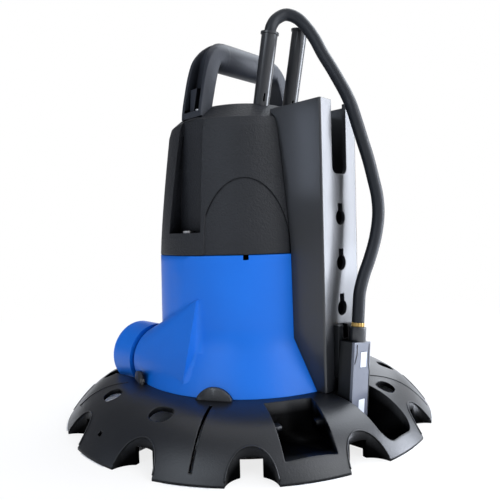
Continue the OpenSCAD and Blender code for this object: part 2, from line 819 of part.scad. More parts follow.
module sensor_board() {
    color("#1f6b3a")
    sensor_place() translate([sensor_x + 4.5, 3 - sensor_w / 2, sensor_z + 7])
        cube([1.6, sensor_w - 6, sensor_h - 14]);
}

module sensor_cover() {
    color("#5a5d66")
    sensor_place() translate([sensor_x + sensor_t - 2, 0, sensor_z])
    difference() {
        translate([0, -sensor_w / 2, 0]) cube([2, sensor_w, sensor_h]);
        for (p = pad_places) translate([1, p[0] - slip / 2, p[1] - slip / 2])
            cube([2, pad_w + slip, pad_h + slip]);
    }
}

module sensor_pads() {
    color("#eceef4") sensor_place() for (p = pad_places)
        translate([sensor_x + sensor_t - 1, p[0], sensor_z + p[1]]) cube([1.2, pad_w, pad_h]);
}

module sensor_bracket() {
    w = 17;
    color(black)
    difference() {
        union() {
            translate([tower_x + slip, -w / 2 - 3, deck_z + 9])
                cube([bracket_t, w, sensor_top + 12 - deck_z - 9]);
            translate([tower_x - tower_wall - slip - e, 0, stud_z]) rotate([0, 90, 0])
                cylinder(r = stud_r, h = tower_wall + 2 * slip + 1, $fn = 32);
            translate([tower_x - tower_wall - slip - 2, 0, stud_z]) rotate([0, 90, 0])
                cylinder(r = stud_head_r, h = 2, $fn = 48);
        }
        // fork at the top
        translate([tower_x - 1, -6, sensor_top + 2]) cube([bracket_t + 3, 6, 12]);
    }
}

skirt_base();
intake_screen();
skirt_screws();
pump_housing();
volute_cover();
impeller();
impeller_nut();
pump_shaft();
shaft_seal();
seal_plate();
housing_o_ring();
lower_bearing();
lower_end_bell();
rotor_core();
stator_core();
stator_windings();
motor_can();
upper_end_bell();
upper_bearing();
run_capacitor();
control_board();
motor_housing();
housing_screws();
handle();
handle_screws();
sensor_tower();
tower_screws();
mains_cable_sleeve();
sensor_cable_sleeve();
sensor_cable();
cable_ring();
gland_nut();
sensor_body();
sensor_board();
sensor_cover();
sensor_pads();
sensor_bracket();
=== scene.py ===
"""The looks of a submersible pump on a scalloped skirt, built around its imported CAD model."""

import bmesh
import bpy
import numpy as np
from mathutils import Matrix


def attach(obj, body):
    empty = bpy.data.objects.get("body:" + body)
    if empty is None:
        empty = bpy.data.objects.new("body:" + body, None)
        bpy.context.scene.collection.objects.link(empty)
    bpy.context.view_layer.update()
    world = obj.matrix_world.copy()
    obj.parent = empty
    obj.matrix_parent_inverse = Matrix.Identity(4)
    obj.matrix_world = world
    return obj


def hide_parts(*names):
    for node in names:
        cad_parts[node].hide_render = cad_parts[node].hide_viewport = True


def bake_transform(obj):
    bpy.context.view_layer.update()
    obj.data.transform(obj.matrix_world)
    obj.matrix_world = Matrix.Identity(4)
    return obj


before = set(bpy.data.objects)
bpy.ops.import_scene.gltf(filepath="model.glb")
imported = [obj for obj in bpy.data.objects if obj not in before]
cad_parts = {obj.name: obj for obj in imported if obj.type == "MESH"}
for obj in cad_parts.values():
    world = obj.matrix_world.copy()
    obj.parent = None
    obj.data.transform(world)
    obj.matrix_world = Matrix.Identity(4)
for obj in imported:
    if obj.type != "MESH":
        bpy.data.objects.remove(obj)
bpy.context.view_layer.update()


# ---------------------------------------------------------------------------------------------
# Studio: camera, white backdrop and soft light
# The pump stands on a white floor in a white studio. A tall lamp like a window shines on the
# tower's face, wide lamps light the far side and the top, and the near side is dimmer.
# ---------------------------------------------------------------------------------------------
camera_at = np.array([0.3088, -0.3089, 0.1480])
camera_forward = np.array([-0.7005, 0.7129, -0.0341])
camera_roll = np.radians(-1.544)
camera_lens, camera_sensor = 36.29, 36  # millimetres
pump_middle = np.array([0, 0, 0.14])

forward = camera_forward / np.linalg.norm(camera_forward)
level_right = np.cross(forward, [0, 0, 1])
level_right /= np.linalg.norm(level_right)
level_up = np.cross(level_right, forward)
right = np.cos(camera_roll) * level_right + np.sin(camera_roll) * level_up
up = np.cross(right, forward)
turn = Matrix(np.column_stack([right, up, -forward]).tolist())

camera = bpy.data.objects.new("camera", bpy.data.cameras.new("camera"))
camera.data.lens = camera_lens
camera.data.sensor_width = camera_sensor
camera.data.clip_start = 0.01
camera.matrix_world = Matrix.Translation(camera_at.tolist()) @ turn.to_4x4()
bpy.context.scene.collection.objects.link(camera)
bpy.context.scene.camera = camera
bpy.context.scene.view_settings.view_transform = "Standard"


def soft_lamp(name, azimuth, elevation, distance, width, height, power, colour=(1, 1, 1)):
    """A rectangular lamp on a sphere round the pump's middle, turned to face that middle. Angles
    are in degrees, lengths in metres and the power in watts."""
    a, e = np.radians(azimuth), np.radians(elevation)
    out = np.array([np.cos(a) * np.cos(e), np.sin(a) * np.cos(e), np.sin(e)])
    data = bpy.data.lights.new(name, "AREA")
    data.shape, data.size, data.size_y = "RECTANGLE", width, height
    data.energy, data.color = power, colour
    lamp = bpy.data.objects.new(name, data)
    side = np.cross([0, 0, 1], out)
    side /= np.linalg.norm(side)
    face = Matrix(np.column_stack([side, np.cross(out, side), out]).tolist())
    place = pump_middle + out * distance
    lamp.matrix_world = Matrix.Translation(place.tolist()) @ face.to_4x4()
    bpy.context.scene.collection.objects.link(lamp)
    return lamp


soft_lamp("window_lamp", 46, 8, 1.3, 0.42, 0.75, 15.5, (0.84, 0.89, 1.0))
soft_lamp("sky_lamp", 80, 48, 1.5, 1.2, 1.0, 18, (0.86, 0.92, 1.0))
soft_lamp("back_lamp", 125, 14, 1.9, 1.6, 0.9, 7, (0.88, 0.93, 1.0)).visible_camera = False
soft_lamp("side_lamp", 6, 30, 1.5, 0.8, 0.8, 9, (0.92, 0.95, 1.0))
soft_lamp("front_lamp", -84, 32, 1.7, 1.0, 1.0, 9.5, (0.82, 0.90, 1.0))
soft_lamp("top_lamp", 150, 75, 1.5, 1.2, 1.2, 3)
soft_lamp("strip_lamp", -124.2, 11.9, 1.38, 0.07, 0.30, 0.5, (0.70, 0.80, 1.0))
soft_lamp("low_lamp", 42, -7.6, 0.53, 0.22, 0.10, 0.4, (0.80, 0.87, 1.0))


def maths(tree, operation, *values):
    """A Math node of that operation. Each value is a number or the socket that feeds it."""
    node = tree.nodes.new("ShaderNodeMath")
    node.operation = operation
    for socket, value in zip(node.inputs, values):
        if isinstance(value, (int, float)):
            socket.default_value = value
        else:
            tree.links.new(value, socket)
    return node.outputs[0]


def ranged(tree, value, low, high, bottom=0.0, top=1.0):
    """Turns low into bottom and high into top, straight between them and held outside them."""
    node = tree.nodes.new("ShaderNodeMapRange")
    for name, number in (("From Min", low), ("From Max", high), ("To Min", bottom),
                         ("To Max", top)):
        node.inputs[name].default_value = number
    tree.links.new(value, node.inputs["Value"])
    return node.outputs["Result"]


def point_axes(tree):
    """Sockets of a point's X, Y and Z in the shared frame."""
    axes = tree.nodes.new("ShaderNodeSeparateXYZ")
    where = tree.nodes.new("ShaderNodeTexCoord")
    tree.links.new(where.outputs["Object"], axes.inputs[0])
    return axes.outputs["X"], axes.outputs["Y"], axes.outputs["Z"]


def axis_distance(tree, x, y):
    """How far a point lies from the pump's axis: the root of X squared plus Y squared."""
    return maths(tree, "SQRT", maths(tree, "ADD", maths(tree, "POWER", x, 2.0),
                                     maths(tree, "POWER", y, 2.0)))


def seen_directly(tree, mirror_share):
    """How plainly a ray shows the white studio: 1 from the camera or through glass, and that
    share of it from a mirror-like surface, where the rest is the room's own light and dark."""
    path = tree.nodes.new("ShaderNodeLightPath")
    plain = maths(tree, "ADD", path.outputs["Is Camera Ray"], path.outputs["Is Transmission Ray"])
    mirrored = maths(tree, "MULTIPLY_ADD", path.outputs["Is Glossy Ray"], mirror_share, plain)
    return maths(tree, "MINIMUM", mirrored, 1.0)


# The room is bright towards the sensor's side and above, and dark on the near side.
world_mirror_share, floor_mirror_share = 0.12, 0.35
world = bpy.data.worlds.new("studio")
world.use_nodes = True
bpy.context.scene.world = world
tree = world.node_tree
tree.nodes.clear()
where = tree.nodes.new("ShaderNodeTexCoord")
bright_side = tree.nodes.new("ShaderNodeVectorMath")
bright_side.operation = "DOT_PRODUCT"
bright_side.inputs[1].default_value = (0.70, 0.60, 0.38)
towards = maths(tree, "MULTIPLY_ADD", bright_side.outputs["Value"], 0.5, 0.5)
ramp = tree.nodes.new("ShaderNodeValToRGB")
dark, bright = ramp.color_ramp.elements
dark.position, dark.color = 0.42, (0.08, 0.085, 0.10, 1)
bright.position, bright.color = 0.86, (0.95, 0.97, 1.0, 1)
white = tree.nodes.new("ShaderNodeMix")
white.data_type = "RGBA"
white.inputs["B"].default_value = (1, 1, 1, 1)
background = tree.nodes.new("ShaderNodeBackground")
output = tree.nodes.new("ShaderNodeOutputWorld")
tree.links.new(where.outputs["Generated"], bright_side.inputs[0])
tree.links.new(towards, ramp.inputs["Fac"])
tree.links.new(ramp.outputs["Color"], white.inputs["A"])
tree.links.new(seen_directly(tree, world_mirror_share), white.inputs["Factor"])
tree.links.new(white.outputs["Result"], background.inputs["Color"])
tree.links.new(background.outputs[0], output.inputs["Surface"])

floor_half = 6.0
floor_mesh = bpy.data.meshes.new("floor")
floor_mesh.from_pydata([(-floor_half, -floor_half, 0), (floor_half, -floor_half, 0),
                        (floor_half, floor_half, 0), (-floor_half, floor_half, 0)],
                       [], [(0, 1, 2, 3)])
floor = bpy.data.objects.new("floor", floor_mesh)
bpy.context.scene.collection.objects.link(floor)
paper = bpy.data.materials.new("floor_paper")
paper.use_nodes = True
tree = paper.node_tree
tree.nodes.clear()

# The paper glows outside the skirt, a little less close to it. Under the skirt, only what is in
# line with a water gate on the near side does: the twelve gates lie 30 degrees apart, where the
# cosine of twelve times the angle is -1.
skirt_r, petals = 0.150, 12
gate_cosine, gate_inner_r, near_line = 0.35, 0.112, 0.04
close_strength, far_distance = 0.8, 0.5
along_x, along_y, _ = point_axes(tree)
radius = axis_distance(tree, along_x, along_y)
angle = maths(tree, "ARCTAN2", along_y, along_x)
gates = maths(tree, "LESS_THAN",
              maths(tree, "COSINE", maths(tree, "MULTIPLY", angle, petals)), gate_cosine)
near = maths(tree, "GREATER_THAN", maths(tree, "SUBTRACT", along_x, along_y), near_line)
inner = maths(tree, "MULTIPLY", maths(tree, "MULTIPLY", gates, near),
              maths(tree, "GREATER_THAN", radius, gate_inner_r))
lit = maths(tree, "MAXIMUM", inner, maths(tree, "GREATER_THAN", radius, skirt_r + 0.001))
strength = ranged(tree, radius, skirt_r, skirt_r + far_distance, close_strength)
glow = maths(tree, "MULTIPLY", maths(tree, "MULTIPLY", strength, lit),
             seen_directly(tree, floor_mirror_share))
shade = tree.nodes.new("ShaderNodeBsdfDiffuse")
shade.inputs["Color"].default_value = (0.92, 0.92, 0.93, 1)
light = tree.nodes.new("ShaderNodeEmission")
light.inputs["Color"].default_value = (1, 1, 1, 1)
mix = tree.nodes.new("ShaderNodeMixShader")
output = tree.nodes.new("ShaderNodeOutputMaterial")
tree.links.new(glow, mix.inputs["Fac"])
tree.links.new(shade.outputs[0], mix.inputs[1])
tree.links.new(light.outputs[0], mix.inputs[2])
tree.links.new(mix.outputs[0], output.inputs["Surface"])
floor_mesh.materials.append(paper)


# ---------------------------------------------------------------------------------------------
# Skirt and intake screen
# Injection-moulded in satin black plastic, and screwed to the pump housing from below. Each
# notch between two petals has a thin rolled rim, and two fine parting lines cross the dome.
# ---------------------------------------------------------------------------------------------
def nodes_of(name):
    """A new material with an empty node tree that ends in a Principled shader."""
    material = bpy.data.materials.new(name)
    material.use_nodes = True
    tree = material.node_tree
    tree.nodes.clear()
    shader = tree.nodes.new("ShaderNodeBsdfPrincipled")
    output = tree.nodes.new("ShaderNodeOutputMaterial")
    tree.links.new(shader.outputs[0], output.inputs["Surface"])
    return material, tree, shader


def noise(tree, vector, scale, detail):
    """Cloudy noise of that scale over a vector."""
    texture = tree.nodes.new("ShaderNodeTexNoise")
    texture.inputs["Scale"].default_value = scale
    texture.inputs["Detail"].default_value = detail
    tree.links.new(vector, texture.inputs["Vector"])
    return texture.outputs["Fac"]


def scaled(tree, value, factor):
    """A socket's colour, vector or number times the factor of another socket."""
    node = tree.nodes.new("ShaderNodeVectorMath")
    node.operation = "SCALE"
    tree.links.new(value, node.inputs[0])
    tree.links.new(factor, node.inputs["Scale"])
    return node.outputs[0]


def surface(tree, shader, grain, depth, edge, samples):
    """Stands a grain up by depth, on edges rounded to a radius, and returns the radius's
    socket."""
    rounded = tree.nodes.new("ShaderNodeBevel")
    rounded.samples = samples
    rounded.inputs["Radius"].default_value = edge
    bump = tree.nodes.new("ShaderNodeBump")
    bump.inputs["Distance"].default_value = depth
    bump.inputs["Strength"].default_value = 1.0
    tree.links.new(grain, bump.inputs["Height"])
    tree.links.new(rounded.outputs[0], bump.inputs["Normal"])
    tree.links.new(bump.outputs[0], shader.inputs["Normal"])
    return rounded.inputs["Radius"]


def moulded(name, colour, light_colour, roughness, grain, depth, edge, spread=0.08, reach=0.03,
            shine=0.5, painted_shade_range=(0.25, 0.75), round_where=None, polish=0.0):
    """Moulded plastic or rubber. Colour drifts between two tones in patches a few centimetres
    wide, roughness drifts by spread, and a fine grain of that size and depth in metres stands
    on edges rounded to the radius edge. Hollows get painted shade: colour and shine darken as
    the share of open air within reach falls through the given range. round_where, if given,
    makes the socket that sets the edge radius. polish is the weight of a glossy surface over a
    hazy one."""
    darkest_painted_shade, patch_scale, polish_roughness = 0.12, 22, 0.13
    material, tree, shader = nodes_of(name)
    point = tree.nodes.new("ShaderNodeTexCoord").outputs["Object"]
    patches = noise(tree, point, patch_scale, 5)
    tint = tree.nodes.new("ShaderNodeMix")
    tint.data_type = "RGBA"
    tint.inputs["A"].default_value = (*colour, 1)
    tint.inputs["B"].default_value = (*light_colour, 1)
    tree.links.new(patches, tint.inputs["Factor"])
    # Painted shade: ambient occlusion darkens colour and shine in hollows and creases.
    shade_probe = tree.nodes.new("ShaderNodeAmbientOcclusion")
    shade_probe.samples = 8
    shade_probe.inputs["Distance"].default_value = reach
    painted_shade_factor = ranged(tree, shade_probe.outputs["AO"], *painted_shade_range, darkest_painted_shade)
    tree.links.new(scaled(tree, tint.outputs["Result"], painted_shade_factor), shader.inputs["Base Color"])
    tree.links.new(maths(tree, "MULTIPLY", painted_shade_factor, shine), shader.inputs["Specular IOR Level"])
    tree.links.new(ranged(tree, patches, 0, 1, roughness - spread, roughness + spread),
                   shader.inputs["Roughness"])
    radius = surface(tree, shader, noise(tree, point, 1 / grain, 2), depth, edge, 8)
    if round_where:
        tree.links.new(round_where(tree, edge), radius)
    shader.inputs["Coat Weight"].default_value = polish
    shader.inputs["Coat Roughness"].default_value = polish_roughness
    return material


def add_painted_shade(material, share):
    """Paints shade onto a moulded material: scales its colour and shine by the socket that share
    makes.
    """
    tree = material.node_tree
    shader = tree.nodes["Principled BSDF"]
    factor = share(tree)
    for name in ("Base Color", "Specular IOR Level"):
        value = shader.inputs[name].links[0].from_socket
        tree.links.new(scaled(tree, value, factor), shader.inputs[name])


def paint(material, *nodes):
    """Gives those CAD nodes that material."""
    for node in nodes:
        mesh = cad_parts[node].data
        mesh.materials.clear()
        mesh.materials.append(material)


def link(name, points, faces):
    """A new smooth object from points and faces, with its own mesh, at the origin."""
    mesh = bpy.data.meshes.new(name)
    mesh.from_pydata(np.asarray(points).tolist(), [], [tuple(int(i) for i in f) for f in faces])
    mesh.shade_smooth()
    mesh.validate()
    piece = bpy.data.objects.new(name, mesh)
    bpy.context.scene.collection.objects.link(piece)
    return piece


def swept(path, radius, sides):
    """Points of a round tube: at each point of the path, a ring of that radius in the plane
    across the path, with each ring's frame carried on from the one before it."""
    along = np.gradient(path, axis=0)
    along /= np.linalg.norm(along, axis=1)[:, None]
    side = np.cross(along[0], [0.3, 1, 0.1])
    rings = []
    a = np.linspace(0, 2 * np.pi, sides, endpoint=False)[:, None]
    for point, ahead in zip(path, along):
        side = side - ahead * (side @ ahead)
        side /= np.linalg.norm(side)
        over = np.cross(ahead, side)
        rings.append(point + radius * (np.cos(a) * side + np.sin(a) * over))
    return np.concatenate(rings)


def capped(rows, columns):
    """Faces of a tube whose points come ring after ring: quads between neighbouring rings, and
    one flat face at each end."""
    i, j = np.arange(rows - 1)[:, None], np.arange(columns)[None, :]
    beside = (j + 1) % columns
    quads = np.stack([i * columns + j, i * columns + beside, (i + 1) * columns + beside,
                      (i + 1) * columns + j], -1).reshape(-1, 4)
    faces = [tuple(quad) for quad in quads]
    faces.append(tuple(range(columns - 1, -1, -1)))
    faces.append(tuple((rows - 1) * columns + np.arange(columns)))
    return faces


def joined(name, tubes, sides):
    """One object of several capped tubes, each a pair of its path and its radius."""
    points, faces, start = [], [], 0
    for path, radius in tubes:
        ring = swept(path, radius, sides)
        points.append(ring)
        faces += [tuple(i + start for i in f) for f in capped(len(path), sides)]
        start += len(ring)
    return link(name, np.concatenate(points), faces)


def read(items, name, width=1, kind=float):
    """One attribute of a mesh's items as an array, with a row for each item."""
    values = np.empty(len(items) * width, dtype=kind)
    items.foreach_get(name, values)
    return values.reshape(-1, width) if width > 1 else values


def skin(node, material, body, sharp=32, shape=None, normals=None):
    """A copy of a CAD node's surface with its loose triangles merged, smooth where it bends by
    less than sharp degrees and creased where it bends by more. shape, if given, changes the
    array of points. normals, if given, makes the shading's directions from the mesh; without
    it, large faces lead the shading."""
    work = bmesh.new()
    work.from_mesh(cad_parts[node].data)
    bmesh.ops.remove_doubles(work, verts=work.verts, dist=2e-6)
    bmesh.ops.dissolve_degenerate(work, edges=work.edges, dist=1e-6)
    mesh = bpy.data.meshes.new(node + "_skin")
    work.to_mesh(mesh)
    work.free()
    if shape:
        mesh.vertices.foreach_set("co", shape(read(mesh.vertices, "co", 3)).ravel())
    mesh.shade_smooth()
    mesh.set_sharp_from_angle(angle=np.radians(sharp))
    mesh.materials.clear()
    mesh.materials.append(material)
    piece = bpy.data.objects.new(node + "_skin", mesh)
    bpy.context.scene.collection.objects.link(piece)
    if normals:
        mesh.normals_split_custom_set(normals(mesh).tolist())
    else:
        weighted = piece.modifiers.new("weighted", "WEIGHTED_NORMAL")
        weighted.keep_sharp = True
        weighted.mode = "FACE_AREA_WITH_ANGLE"
    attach(piece, body)
    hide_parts(node)
    return piece


deck_r, deck_z, rim_lip = 0.088, 0.033, 0.0015
notch_at, notch_r = 0.152, 0.0165
rim_end_r, line_lift = 0.1492, 0.0001


def dome_z(radius):
    """Height of the skirt's dome: flat out to the deck's radius, then falling to the rim's lip
    with the cube of the share of the way to the rim."""
    share = np.clip((radius - deck_r) / (skirt_r - deck_r), 0, 1)
    return rim_lip + (deck_z - rim_lip) * (1 - share ** 3)


def dome_normals(mesh):
    """Directions for the skirt's shading: square to the dome's curve at the corners of faces
    that follow it to within a height and an angle, and as the mesh has them elsewhere. The
    dome's slope is three times its drop over its width, times the square of the share."""
    near_height, near_angle = 0.0008, np.radians(14)
    own = read(mesh.corner_normals, "vector", 3)
    x, y, z = read(mesh.vertices, "co", 3)[read(mesh.loops, "vertex_index", kind=int)].T
    corners_of_face = read(mesh.polygons, "loop_total", kind=int)
    face = np.repeat(read(mesh.polygons, "normal", 3), corners_of_face, axis=0)
    r = np.hypot(x, y)
    share = np.clip((r - deck_r) / (skirt_r - deck_r), 0, 1)
    slope = 3 * (deck_z - rim_lip) / (skirt_r - deck_r) * share ** 2
    true = np.column_stack([slope * x / r, slope * y / r, np.ones(len(r))])
    true /= np.linalg.norm(true, axis=1)[:, None]
    on_dome = ((np.abs(z - dome_z(r)) < near_height) & (r > deck_r - 0.001)
               & ((true * face).sum(axis=1) > np.cos(near_angle)))
    return np.where(on_dome[:, None], true, own)


def notch_rim(turn_degrees):
    """The upper edge of a notch: the notch's circle, where it lies inside the rim, lifted onto
    the dome and turned about the pump's axis."""
    a = np.radians(np.linspace(98, 262, 60))
    x, y = notch_at + notch_r * np.cos(a), notch_r * np.sin(a)
    r = np.hypot(x, y)
    x, y, r = x[r < rim_end_r], y[r < rim_end_r], r[r < rim_end_r]
    t = np.radians(turn_degrees)
    return np.column_stack([x * np.cos(t) - y * np.sin(t), x * np.sin(t) + y * np.cos(t),
                            dome_z(r) + line_lift])


def over_dome(start, end, count=40):
    """A straight line on plan between two points, lifted onto the dome."""
    t = np.linspace(0, 1, count)[:, None]
    p = np.array(start) * (1 - t) + np.array(end) * t
    return np.column_stack([p, dome_z(np.hypot(p[:, 0], p[:, 1])) + line_lift])


skirt_plastic = moulded("skirt_plastic", (0.005, 0.006, 0.008), (0.010, 0.011, 0.014),
                        roughness=0.33, grain=0.0011, depth=0.00008, edge=0.0009, spread=0.09,
                        reach=0.06, shine=0.45, painted_shade_range=(0.42, 0.88))


def painted_shade_under_dome(tree):
    """Painted shade under the dome: full colour and shine on the dome, fading evenly below it to
    a tenth, so the openings look shadowed.
    """
    fade, start, least = -110.0, 1.08, 0.1
    x, y, z = point_axes(tree)
    past_deck = maths(tree, "SUBTRACT", axis_distance(tree, x, y), deck_r)
    share = maths(tree, "MAXIMUM", maths(tree, "DIVIDE", past_deck, skirt_r - deck_r), 0.0)
    height = maths(tree, "MULTIPLY_ADD", maths(tree, "POWER", share, 3.0),
                   rim_lip - deck_z, deck_z)
    below = maths(tree, "SUBTRACT", height, z)
    return maths(tree, "MAXIMUM", maths(tree, "MULTIPLY_ADD", below, fade, start), least)


# Painted shade in the skirt's openings and pocket, below the dome.
add_painted_shade(skirt_plastic, painted_shade_under_dome)
skin("skirt_base", skirt_plastic, "pump", normals=dome_normals)
paint(skirt_plastic, "intake_screen", "volute_cover")
rim_r, line_r = 0.0005, 0.0003
rims = joined("skirt_notch_rims", [(notch_rim(360 / petals * (i + 0.5)), rim_r)
                                   for i in range(petals)], 8)
rims.data.materials.append(skirt_plastic)
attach(rims, "pump")
parting = moulded("parting_line", (0.004, 0.004, 0.005), (0.006, 0.006, 0.007), roughness=0.5,
                  grain=0.001, depth=0.00002, edge=0.0002)
lines = joined("skirt_parting_lines", [
    (over_dome((-0.0691, -0.1226), (-0.0384, -0.0969)), line_r),
    (over_dome((0.0971, 0.0385), (0.1268, 0.0748)), line_r)], 6)
lines.data.materials.append(parting)
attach(lines, "pump")


# ---------------------------------------------------------------------------------------------
# Pump housing
# One blue moulding with the discharge collar, satin with a faint grain. The swelling that
# leads to the collar runs smoothly into the body, and a narrow groove lies under the motor
# housing.
# ---------------------------------------------------------------------------------------------
def wide_fillet(tree, edge):
    """The edge radius, which grows from edge to the wide radius over the crease above the
    swelling: from the collar to the gusset, on the collar's side, clear of the foot."""
    wide = 0.008
    x, y, z = point_axes(tree)
    mask = maths(tree, "MULTIPLY", ranged(tree, x, -0.044, -0.038),
                 ranged(tree, x, 0.013, 0.006))
    mask = maths(tree, "MULTIPLY", mask, ranged(tree, y, -0.040, -0.048))
    mask = maths(tree, "MULTIPLY", mask, ranged(tree, z, 0.036, 0.042))
    return maths(tree, "MULTIPLY_ADD", mask, wide - edge, edge)


seam_r, seam_z, groove = 0.0724, 0.1323, 0.0007


def seam_groove(points):
    """Lowers the outer edge of the housing's top face by the groove's height."""
    top = (points[:, 2] > seam_z - 1e-5) & (np.hypot(points[:, 0], points[:, 1]) > seam_r - 2e-4)
    points[top, 2] -= groove
    return points


blue_plastic = moulded("blue_plastic", (0.003, 0.126, 0.585), (0.004, 0.154, 0.670),
                       roughness=0.42, grain=0.0012, depth=0.00003, edge=0.0006, spread=0.05,
                       reach=0.010, shine=0.28, painted_shade_range=(0.05, 0.50), round_where=wide_fillet)
skin("pump_housing", blue_plastic, "pump", 15, seam_groove)


# ---------------------------------------------------------------------------------------------
# Motor housing
# Black plastic with a fine spark texture that glints. Two long screws in the pockets under the
# handle's legs hold it down on the pump housing.
# ---------------------------------------------------------------------------------------------
motor_plastic = moulded("motor_plastic", (0.006, 0.007, 0.009), (0.013, 0.014, 0.018),
                        roughness=0.48, grain=0.0014, depth=0.0005, edge=0.0008, spread=0.08,
                        reach=0.03, shine=0.34)
# Painted shade: the tab that reaches down into the notch in the blue housing's top edge is
# darkened, as if in shadow.
add_painted_shade(motor_plastic, lambda tree: maths(tree, "GREATER_THAN", point_axes(tree)[2],
                                         seam_z - 0.0002))
paint(motor_plastic, "motor_housing")


# ---------------------------------------------------------------------------------------------
# Handle
# One moulding in smooth black plastic: a round grip that runs down into two flat legs. Each
# leg is a channel that opens outwards, with a small wedge rib in it, and is screwed on at its
# foot.
# ---------------------------------------------------------------------------------------------
def spline(points, count):
    """Catmull-Rom curve through the points: a cubic between each pair of neighbours whose slope
    at a point is half the step between the points on either side of it."""
    p = np.vstack([2 * points[0] - points[1], points, 2 * points[-1] - points[-2]])
    t = np.linspace(0, len(points) - 1, count)
    k = np.minimum(t.astype(int), len(points) - 2)
    u = (t - k)[:, None]
    a, b, c, d = p[k], p[k + 1], p[k + 2], p[k + 3]
    return 0.5 * (2 * b + (c - a) * u + (2 * a - 5 * b + 4 * c - d) * u ** 2
                  + (3 * b - a - 3 * c + d) * u ** 3)


def handle_points():
    """Sections across the handle's middle line, from foot to foot. A section is a superellipse,
    nearly a rectangle in the legs and round in the grip, whose outer side is sunk between two
    walls by the channel's depth. Millimetres, then metres."""
    half_steps, wall_count, floor_count, inner_count = 105, 11, 9, 31
    leg_half, grip_half, least_web, wall_power = 12.0, 11.75, 2.6, 2.2
    # middle line's Y and Z, thickness, exponent, channel depth, channel half-width
    stations = np.array([
        [-51.0, 238.2, 11.0, 30, 0.3, 8.8], [-50.6, 243.0, 11.0, 30, 0.3, 8.8],
        [-50.4, 244.0, 11.0, 30, 7.2, 8.8], [-49.3, 250.0, 11.1, 30, 8.0, 8.8],
        [-47.4, 258.0, 11.3, 30, 8.0, 8.7], [-45.2, 267.0, 11.5, 28, 8.0, 8.5],
        [-42.9, 275.0, 11.7, 20, 7.6, 8.2], [-40.6, 281.5, 12.0, 12, 6.6, 7.6],
        [-37.6, 286.6, 13.4, 5.5, 4.6, 6.4], [-33.2, 289.8, 17.2, 3.4, 2.2, 4.4],
        [-27.6, 291.4, 21.6, 2.3, 0.5, 2.2], [-21.0, 291.75, 23.4, 2, 0.0, 1.0],
        [-10.0, 291.75, 23.5, 2, 0.0, 1.0], [0.0, 291.75, 23.5, 2, 0.0, 1.0]])
    half = spline(stations, half_steps)
    other = half[-2::-1] * [-1, 1, 1, 1, 1, 1]
    rows = np.vstack([half, other])
    middle = rows[:, :2]
    along = np.gradient(middle, axis=0)
    along /= np.linalg.norm(along, axis=1)[:, None]
    outward = np.column_stack([-along[:, 1], along[:, 0]])
    thick, power, depth, reach = (rows[:, i, None] for i in (2, 3, 4, 5))
    edge = 1 - np.linspace(0, 1, wall_count)[::-1] ** wall_power
    wall = reach / leg_half
    walls = wall + (1 - wall) * edge[None, :]
    floor_u = wall * np.linspace(-1, 1, floor_count)[None, :]
    outer_u = np.hstack([-walls[:, ::-1], floor_u, walls])
    inner_turn = np.linspace(np.pi / 2, -np.pi / 2, inner_count)[None, 1:-1]
    inner_u = np.sin(inner_turn) * np.ones_like(thick)
    height = thick / 2 * (1 - np.clip(np.abs(outer_u), 0, 1) ** power) ** (1 / power)
    height[:, wall_count:wall_count + floor_count] -= np.minimum(depth, thick - least_web)
    below = -thick / 2 * (1 - np.clip(np.abs(inner_u), 0, 1) ** power) ** (1 / power)
    u = np.hstack([outer_u, inner_u])
    h = np.hstack([height, below])
    half_width = np.where(power > 2.05, leg_half, grip_half)
    return np.stack([u * half_width, middle[:, :1] + outward[:, :1] * h,
                     middle[:, 1:] + outward[:, 1:] * h], -1) / 1000


handle_grid = handle_points()
handle_rows, handle_columns = handle_grid.shape[:2]
handle = link("handle_moulding", handle_grid.reshape(-1, 3), capped(handle_rows, handle_columns))
# The wedge rib in each leg, in millimetres: narrow at its foot, wider and lower at its top.
rib_corners = ((-6.0, 49.6, 244), (-1.5, 49.6, 244), (0.0, 43.5, 264), (-8.0, 43.5, 264),
               (-6.0, 52.2, 244), (-1.5, 52.2, 244), (0.0, 49.4, 263), (-8.0, 49.4, 263))
rib_faces = ((0, 1, 2, 3), (4, 5, 6, 7), (0, 1, 5, 4), (1, 2, 6, 5), (2, 3, 7, 6), (3, 0, 4, 7))
work = bmesh.new()
work.from_mesh(handle.data)
for side in (-1, 1):
    corners = [work.verts.new((x / 1000, side * y / 1000, z / 1000)) for x, y, z in rib_corners]
    for face in rib_faces:
        work.faces.new([corners[i] for i in face])
bmesh.ops.recalc_face_normals(work, faces=work.faces)
work.to_mesh(handle.data)
work.free()
handle.data.shade_smooth()
handle.data.set_sharp_from_angle(angle=np.radians(38))
handle_plastic = moulded("handle_plastic", (0.017, 0.020, 0.027), (0.024, 0.027, 0.036),
                         roughness=0.50, grain=0.0014, depth=0.00010, edge=0.0008, spread=0.06,
                         reach=0.02, shine=0.33)
handle.data.materials.append(handle_plastic)
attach(handle, "pump")
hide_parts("handle")


# ---------------------------------------------------------------------------------------------
# Tower and cable sleeves
# The tower is one hollow moulding in smooth black plastic, screwed to the motor housing, with a
# cable slot and keyholes in its face. The sleeves are fixed in the motor housing's top.
# ---------------------------------------------------------------------------------------------
tower_plastic = moulded("gloss_black_plastic", (0.009, 0.010, 0.012), (0.014, 0.015, 0.018),
                        roughness=0.38, grain=0.0022, depth=0.00004, edge=0.0008, spread=0.06,
                        reach=0.02, shine=0.55, painted_shade_range=(0.10, 0.45), polish=0.30)
paint(tower_plastic, "sensor_tower")
paint(moulded("sleeve_plastic", (0.008, 0.009, 0.011), (0.011, 0.012, 0.015), roughness=0.42,
              grain=0.0016, depth=0.00002, edge=0.0005, spread=0.03, reach=0.02, shine=0.4,
              polish=0.7),
      "mains_cable_sleeve", "sensor_cable_sleeve")


